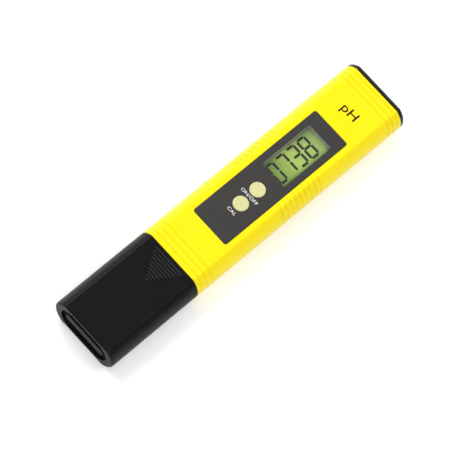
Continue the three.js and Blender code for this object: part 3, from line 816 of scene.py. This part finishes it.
SEGMENTS = {"0": "abcdef", "3": "abcdg", "7": "abc", "8": "abcdefg"}
READING = "0738"
DIGIT = {
    "first": 19.66, "pitch": 5.52, "width": 3.55, "top": -4.52, "middle": -0.3, "foot": 4.17, "stroke": 1.05,
}
# The window's edge would hide the outer segments of the first digit, so they lie a little further in.
FIRST_DIGIT_INSET = 0.34


def bar(start, end, half):
    """A segment from start to end with pointed ends, as x, y points."""
    (ax, ay), (bx, by) = start, end
    length = math.hypot(bx - ax, by - ay)
    dx, dy = (bx - ax) / length, (by - ay) / length
    nx, ny = -dy * half, dx * half
    ax, ay, bx, by = ax + dx * 0.1, ay + dy * 0.1, bx - dx * 0.1, by - dy * 0.1
    inner = half * 0.9
    return [
        (ax, ay), (ax + nx + dx * inner, ay + ny + dy * inner), (bx + nx - dx * inner, by + ny - dy * inner),
        (bx, by), (bx - nx - dx * inner, by - ny - dy * inner), (ax - nx + dx * inner, ay - ny + dy * inner),
    ]


def lcd_digits():
    """The reading, in dark segments on the glass. It is read along +Y, with the digits' tops towards -X."""
    surface = span("lcd_panel")[1].z
    points, faces = [], []
    for place, digit in enumerate(READING):
        left = DIGIT["first"] + DIGIT["pitch"] * place
        right = left + DIGIT["width"]
        if place == 0:
            left += FIRST_DIGIT_INSET
        top, middle, foot = DIGIT["top"], DIGIT["middle"], DIGIT["foot"]
        lines = {
            "a": ((top, left), (top, right)), "g": ((middle, left), (middle, right)),
            "d": ((foot, left), (foot, right)), "f": ((top, left), (middle, left)),
            "b": ((top, right), (middle, right)), "e": ((middle, left), (foot, left)),
            "c": ((middle, right), (foot, right)),
        }
        for segment in SEGMENTS[digit]:
            more, sides = plate(bar(*lines[segment], DIGIT["stroke"] / 2), surface - 0.02, surface + 0.03)
            faces += [tuple(i + len(points) for i in side) for side in sides]
            points += more
    digits = solid("display_digits", (points, faces))
    return settle(digits, "tester", LOOKS["lcd_ink"])


def lettering(name, text, look, across, upwards, surface, weight=0.0):
    """Flat raised letters that fill a box on the front, read along +X. Weight makes them bolder."""
    (left, right), (low, high) = across, upwards
    height = 0.03
    curve = bpy.data.curves.new(name, "FONT")
    curve.body = text
    curve.extrude = 0.02
    curve.offset = weight
    curve.resolution_u = 4
    source = bpy.data.objects.new(name, curve)
    bpy.context.scene.collection.objects.link(source)
    graph = bpy.context.evaluated_depsgraph_get()
    mesh = bpy.data.meshes.new_from_object(source.evaluated_get(graph))
    bpy.data.objects.remove(source)
    bpy.data.curves.remove(curve)
    xs = [v.co.x for v in mesh.vertices]
    ys = [v.co.y for v in mesh.vertices]
    scale_x = (right - left) / (max(xs) - min(xs))
    scale_y = (high - low) / (max(ys) - min(ys))
    for v in mesh.vertices:
        x = left + (v.co.x - min(xs)) * scale_x
        y = low + (v.co.y - min(ys)) * scale_y
        v.co = Vector((x, y, surface + (height if v.co.z > 0 else -height))) * MM
    letters = bpy.data.objects.new(name, mesh)
    bpy.context.scene.collection.objects.link(letters)
    clean(letters, 1e-6)
    return settle(letters, "tester", LOOKS[look])


# ---------------------------------------------------------------- probe
def electrode_holder():
    """The probe's housing: a grooved neck in the case, and a barrel with a notched well round the bulb."""
    low, high = span("electrode_holder")
    neck_end, shoulder, well_floor = -42.0, high.y, -55
    bore_radius, socket_radius = 2.3, 1.3
    inset = HALF_WIDTH - high.x
    profile = [(neck_end, inset + 0.5), (neck_end + 0.5, inset)]
    for groove, half, depth in ((-37.2, 0.9, 1.3), (-28.8, 1.0, 0.85)):
        profile += [(groove - half, inset), (groove - half, inset + depth)]
        profile += [(groove + half, inset + depth), (groove + half, inset)]
    profile += [(shoulder, inset)]
    holder = solid("probe_housing", bridge(along_y(pen_outline, profile)))
    barrel = prism_y(stadium_outline(22, 9.8, 20), low.y, neck_end + 2, 0.7)
    join(holder, solid("barrel", barrel))
    cut(holder, solid("well", prism_y(stadium_outline(19.6, 7.4, 20), low.y - 2, well_floor)))
    notch = plate_outline(8, 8, 1.6, 0, low.y + 1, 6)
    cut(holder, solid("notch", plate(notch, -1, THICKNESS + 1)))
    start = well_floor - 1
    bore = [(0, start), (bore_radius, start), (bore_radius, shoulder + 1), (0, shoulder + 1)]
    cut(holder, solid("bore", turned(bore, (0, 0, MID_Z), "y")))
    seat = [(0, shoulder - 2.3), (4.3, shoulder - 2.3), (4.3, shoulder + 1), (0, shoulder + 1)]
    cut(holder, solid("seat", turned(seat, (0, 0, MID_Z), "y")))
    plug_low, plug_high = span("reference_junction")
    x = (plug_low.x + plug_high.x) / 2
    socket_end = plug_high.y + 0.3
    socket = [(0, start), (socket_radius, start), (socket_radius, socket_end), (0.8, socket_end)]
    socket += [(0.8, shoulder + 1), (0, shoulder + 1)]
    cut(holder, solid("socket", turned(socket, (x, 0, MID_Z), "y", 32)))
    soften(holder, 0.15, 3)
    return settle(holder, "tester", LOOKS["inner"], ["electrode_holder"])


def glass_electrode():
    """A thin glass bulb on an open stem."""
    low, high = span("glass_electrode")
    bulb, stem, bulb_wall, stem_wall = 3.0, 2.0, 0.5, 0.6
    centre = low.y + bulb

    def shape(radius, neck):
        """The bulb's profile from its tip to where it meets the stem."""
        angle = math.degrees(math.asin(neck / radius))
        turns = [math.radians(180 - (180 - angle) * i / 18) for i in range(19)]
        return [(radius * math.sin(t), centre + radius * math.cos(t)) for t in turns]

    outside = shape(bulb, stem)
    inside = shape(bulb - bulb_wall, stem - stem_wall)[::-1]
    profile = [(0, outside[0][1])] + outside[1:] + [(stem, high.y), (stem - stem_wall, high.y)]
    profile += inside[:-1] + [(0, inside[-1][1])]
    glass = solid("glass_bulb", turned(profile, (0, 0, MID_Z), "y", 48))
    smooth(glass, 60)
    return settle(glass, "tester", LOOKS["glass"], ["glass_electrode"])


def reference_wire():
    low, high = span("reference_wire")
    radius = (high.x - low.x) / 2
    profile = [(0, low.y), (radius * 0.7, low.y + 0.05), (radius, low.y + 0.25)]
    profile += [(radius, high.y - 0.1), (radius * 0.8, high.y), (0, high.y)]
    wire = solid("silver_wire", turned(profile, (0, 0, MID_Z), "y", 24))
    smooth(wire)
    return settle(wire, "tester", LOOKS["silver"], ["reference_wire"])


def reference_junction():
    low, high = span("reference_junction")
    radius = (high.z - low.z) / 2
    profile = [(0, low.y), (radius - 0.25, low.y + 0.05), (radius, low.y + 0.3)]
    profile += [(radius, high.y - 0.1), (radius - 0.1, high.y), (0, high.y)]
    plug = solid("porous_plug", turned(profile, ((low.x + high.x) / 2, 0, MID_Z), "y", 32))
    smooth(plug)
    return settle(plug, "tester", LOOKS["ceramic"], ["reference_junction"])


def seal_ring(outline_at, low, high, depth):
    """A ring of rubber with a round back, that follows an outline round the probe."""
    half = (high - low) / 2
    middle = (high + low) / 2
    turns = [math.pi * i / 10 for i in range(11)]
    back = [(middle + half * math.cos(t), -half * math.sin(t) + half) for t in turns]
    rings = along_y(outline_at, back + [(low, depth), (high, depth)])
    count = len(rings[0])
    points = [p for ring in rings for p in ring]
    faces = []
    for k in range(len(rings)):
        a, b = k * count, ((k + 1) % len(rings)) * count
        faces += [(a + i, a + (i + 1) % count, b + (i + 1) % count, b + i) for i in range(count)]
    return points, faces


def cap_seal():
    low, high = span("cap_seal")
    inset = HALF_WIDTH - high.x
    shape = seal_ring(lambda more: pen_outline(inset + more), low.y, high.y, 1.2)
    seal = solid("cap_seal_ring", shape)
    smooth(seal)
    return settle(seal, "tester", LOOKS["rubber"], ["cap_seal"])


# ---------------------------------------------------------------- battery bay
def button_cell(number):
    """A pressed can with a rolled edge, a dark gasket and a lower lid."""
    low, high = span(f"cell_{number}")
    radius = (high.z - low.z) / 2
    x = (low.x + high.x) / 2
    half = (high.x - low.x) / 2
    can = [(0, -half), (radius - 1.2, -half), (radius - 0.5, -half + 0.03)]
    can += arc((radius - 0.5, -half + 0.5), 0.5, -80, 0, 6)
    can += [(radius, half - 1.0)]
    can += arc((radius - 0.3, half - 0.95), 0.3, 0, 80, 4)
    gasket = [(radius - 0.55, half - 0.62), (radius - 0.75, half - 0.55), (radius - 1.0, half - 0.6)]
    lid = [(radius - 1.1, half - 0.5), (radius - 1.2, half - 0.15), (radius - 1.45, half), (0, half)]
    profile = can + gasket + lid
    middle = ((low.y + high.y) / 2, (low.z + high.z) / 2)
    cell = solid(f"cell_can_{number}", turned(profile, (x, *middle), "x", 64))
    settle(cell, "tester", LOOKS["cell"], [f"cell_{number}"])
    cell.data.materials.append(LOOKS["gasket"])
    # The faces of the ring between the can and the lid are the gasket.
    edges = (x + half - 0.72) * MM, (x + half - 0.42) * MM
    for face in cell.data.polygons:
        out = Vector((0, face.center.y - middle[0] * MM, face.center.z - middle[1] * MM)).length
        in_ring = (radius - 1.12) * MM < out < (radius - 0.42) * MM
        if in_ring and edges[0] < face.center.x < edges[1]:
            face.material_index = 1
    smooth(cell, 40)
    return cell


def battery_holder():
    """A wall across the case, with a cheek beside each end of the stack of cells."""
    low, high = span("battery_holder")
    inset = HALF_WIDTH - high.x
    wall, reach, half_height = 1.2, 12.9, 2.8
    holder = solid("cell_holder", bridge(along_y(pen_outline, [(low.y, inset), (low.y + wall, inset)])))
    stack = span("cell_4")[1].x + 0.9
    for side in (-1, 1):
        middle = side * (stack + reach) / 2
        outline = plate_outline(reach - stack, high.y - low.y, 0.3, middle, (low.y + high.y) / 2, 3)
        join(holder, solid("cheek", plate(outline, MID_Z - half_height, MID_Z + half_height)))
    soften(holder, 0.1, 2)
    return settle(holder, "tester", LOOKS["inner"], ["battery_holder"])


def battery_contact(name):
    """A sprung leaf with a pressed dimple that bears on the end of the stack."""
    low, high = span(name)
    side = 1 if low.x > 0 else -1
    inner = low.x if side > 0 else high.x
    outer = high.x if side > 0 else low.x
    cell_low, cell_high = span("cell_1")
    middle_y = (cell_low.y + cell_high.y) / 2
    dimple_radius, dimple_height = 1.1, 0.1
    rows, columns = 40, 20
    points = []
    for face_x in (inner + side * dimple_height, outer):
        for r in range(rows + 1):
            y = low.y + (high.y - low.y) * r / rows
            for c in range(columns + 1):
                z = low.z + (high.z - low.z) * c / columns
                away = math.hypot(y - middle_y, z - MID_Z)
                dimple = dimple_height * math.cos(min(away / dimple_radius, 1) * math.pi / 2)
                points.append((face_x - side * dimple, y, z))
    width = columns + 1
    layer = width * (rows + 1)
    faces = []
    for r in range(rows):
        for c in range(columns):
            i = r * width + c
            faces.append((i, i + 1, i + width + 1, i + width))
            faces.append((layer + i, layer + i + width, layer + i + width + 1, layer + i + 1))
    rim = list(range(width)) + [r * width + columns for r in range(1, rows + 1)]
    rim += [rows * width + c for c in range(columns - 1, -1, -1)]
    rim += [r * width for r in range(rows - 1, 0, -1)]
    for a, b in zip(rim, rim[1:] + rim[:1]):
        faces.append((a, b, layer + b, layer + a))
    leaf = solid(f"{name}_leaf", (points, faces))
    smooth(leaf, 40)
    return settle(leaf, "tester", LOOKS["steel"], [name])


# ---------------------------------------------------------------- stage
def add_floor():
    """A plain floor just under the tester. Its sizes are in metres, as are the lights' and the camera's."""
    reach, height = 3.0, -0.00002
    mesh = bpy.data.meshes.new("floor")
    corners = [(-reach, -reach), (reach, -reach), (reach, reach), (-reach, reach)]
    mesh.from_pydata([(x, y, height) for x, y in corners], [], [(0, 1, 2, 3)])
    floor = bpy.data.objects.new("floor", mesh)
    bpy.context.scene.collection.objects.link(floor)
    mesh.materials.append(floor_material())


def add_light(name, place, size, power):
    """A soft square white lamp that faces the tester."""
    data = bpy.data.lights.new(name, "AREA")
    data.shape = "SQUARE"
    data.size = size
    data.energy = power
    lamp = bpy.data.objects.new(name, data)
    bpy.context.scene.collection.objects.link(lamp)
    lamp.location = place
    lamp.rotation_mode = "QUATERNION"
    lamp.rotation_quaternion = (Vector((0, 0, 0)) - Vector(place)).to_track_quat("-Z", "Y")


def add_camera():
    """The camera looks down on the front, tilted towards the probe cap and turned to a slanting view."""
    tilt, lean, roll = (math.radians(a) for a in (21.34, 8.61, 47.12))
    distance, lens = 1.166, 244.95
    offset_right, offset_up = 0.001382, 0.006415
    back = Vector((math.sin(lean), -math.sin(tilt) * math.cos(lean), math.cos(tilt) * math.cos(lean)))
    back.normalize()
    across = (Vector((1, 0, 0)) - back * back.x).normalized()
    along = back.cross(across)
    right = across * math.cos(roll) + along * math.sin(roll)
    up = along * math.cos(roll) - across * math.sin(roll)
    middle = Vector((0, 0, MID_Z * MM))
    data = bpy.data.cameras.new("camera")
    data.lens = lens
    data.sensor_width = 36
    data.clip_start = 0.01
    data.clip_end = 20
    camera = bpy.data.objects.new("camera", data)
    bpy.context.scene.collection.objects.link(camera)
    place = middle + back * distance - right * offset_right - up * offset_up
    camera.matrix_world = Matrix.Translation(place) @ Matrix((right, up, back)).transposed().to_4x4()
    bpy.context.scene.camera = camera


def add_world():
    """Even white light from all round."""
    world = bpy.data.worlds.new("studio")
    world.use_nodes = True
    world.node_tree.nodes["Background"].inputs["Color"].default_value = (1, 1, 1, 1)
    world.node_tree.nodes["Background"].inputs["Strength"].default_value = 0.44
    bpy.context.scene.world = world


add_camera()
add_world()
add_floor()
add_light("key", (-0.85, 0.1, 0.75), 0.9, 14.4)
add_light("fill", (0.6, -0.7, 0.8), 0.9, 8.0)
add_light("back", (0.1, 1.2, 0.55), 0.7, 9.0)
add_light("edge", (0.55, 0.42, 0.92), 0.3, 2.0)
bpy.context.scene.view_settings.view_transform = "Standard"

front_shell()
rear_shell()
protective_cap()
cap_ribs()
battery_cap()
front_label()
display_window()
lcd_frame()
lcd_cell()
lcd_digits()
for name in BUTTON_NAMES:
    press_button(name)
label_top = span("front_label")[1].z
lettering("print_ph", "pH", "dark_ink", (-3.45, 3.75), (56.3, 61.4), THICKNESS, weight=0.008)
lettering("print_power", "ON/OFF", "white_ink", (-3.75, 4.75), (5.5, 6.8), label_top)
lettering("print_cal", "CAL", "white_ink", (-1.55, 2.65), (-3.65, -2.35), label_top)
electrode_holder()
glass_electrode()
reference_wire()
reference_junction()
cap_seal()
for number in CELLS:
    button_cell(number)
battery_holder()
battery_contact("positive_contact")
battery_contact("negative_contact")

dress("rubber", "zebra_strip_left", "zebra_strip_right", "stem_seal")
dress("board", "main_board")
dress("chip", "controller_chip", "amplifier_chip", "resistor_1", "resistor_2")
dress("chip", "power_switch", "cal_switch", "power_plunger", "cal_plunger")
dress("ceramic", "capacitor_1", "capacitor_2")
dress("steel", "quartz_crystal", *[f"board_screw_{n}" for n in SCREWS])
dress("red", "reference_lead", "positive_lead")
dress("sleeve", "electrode_lead", "negative_lead")
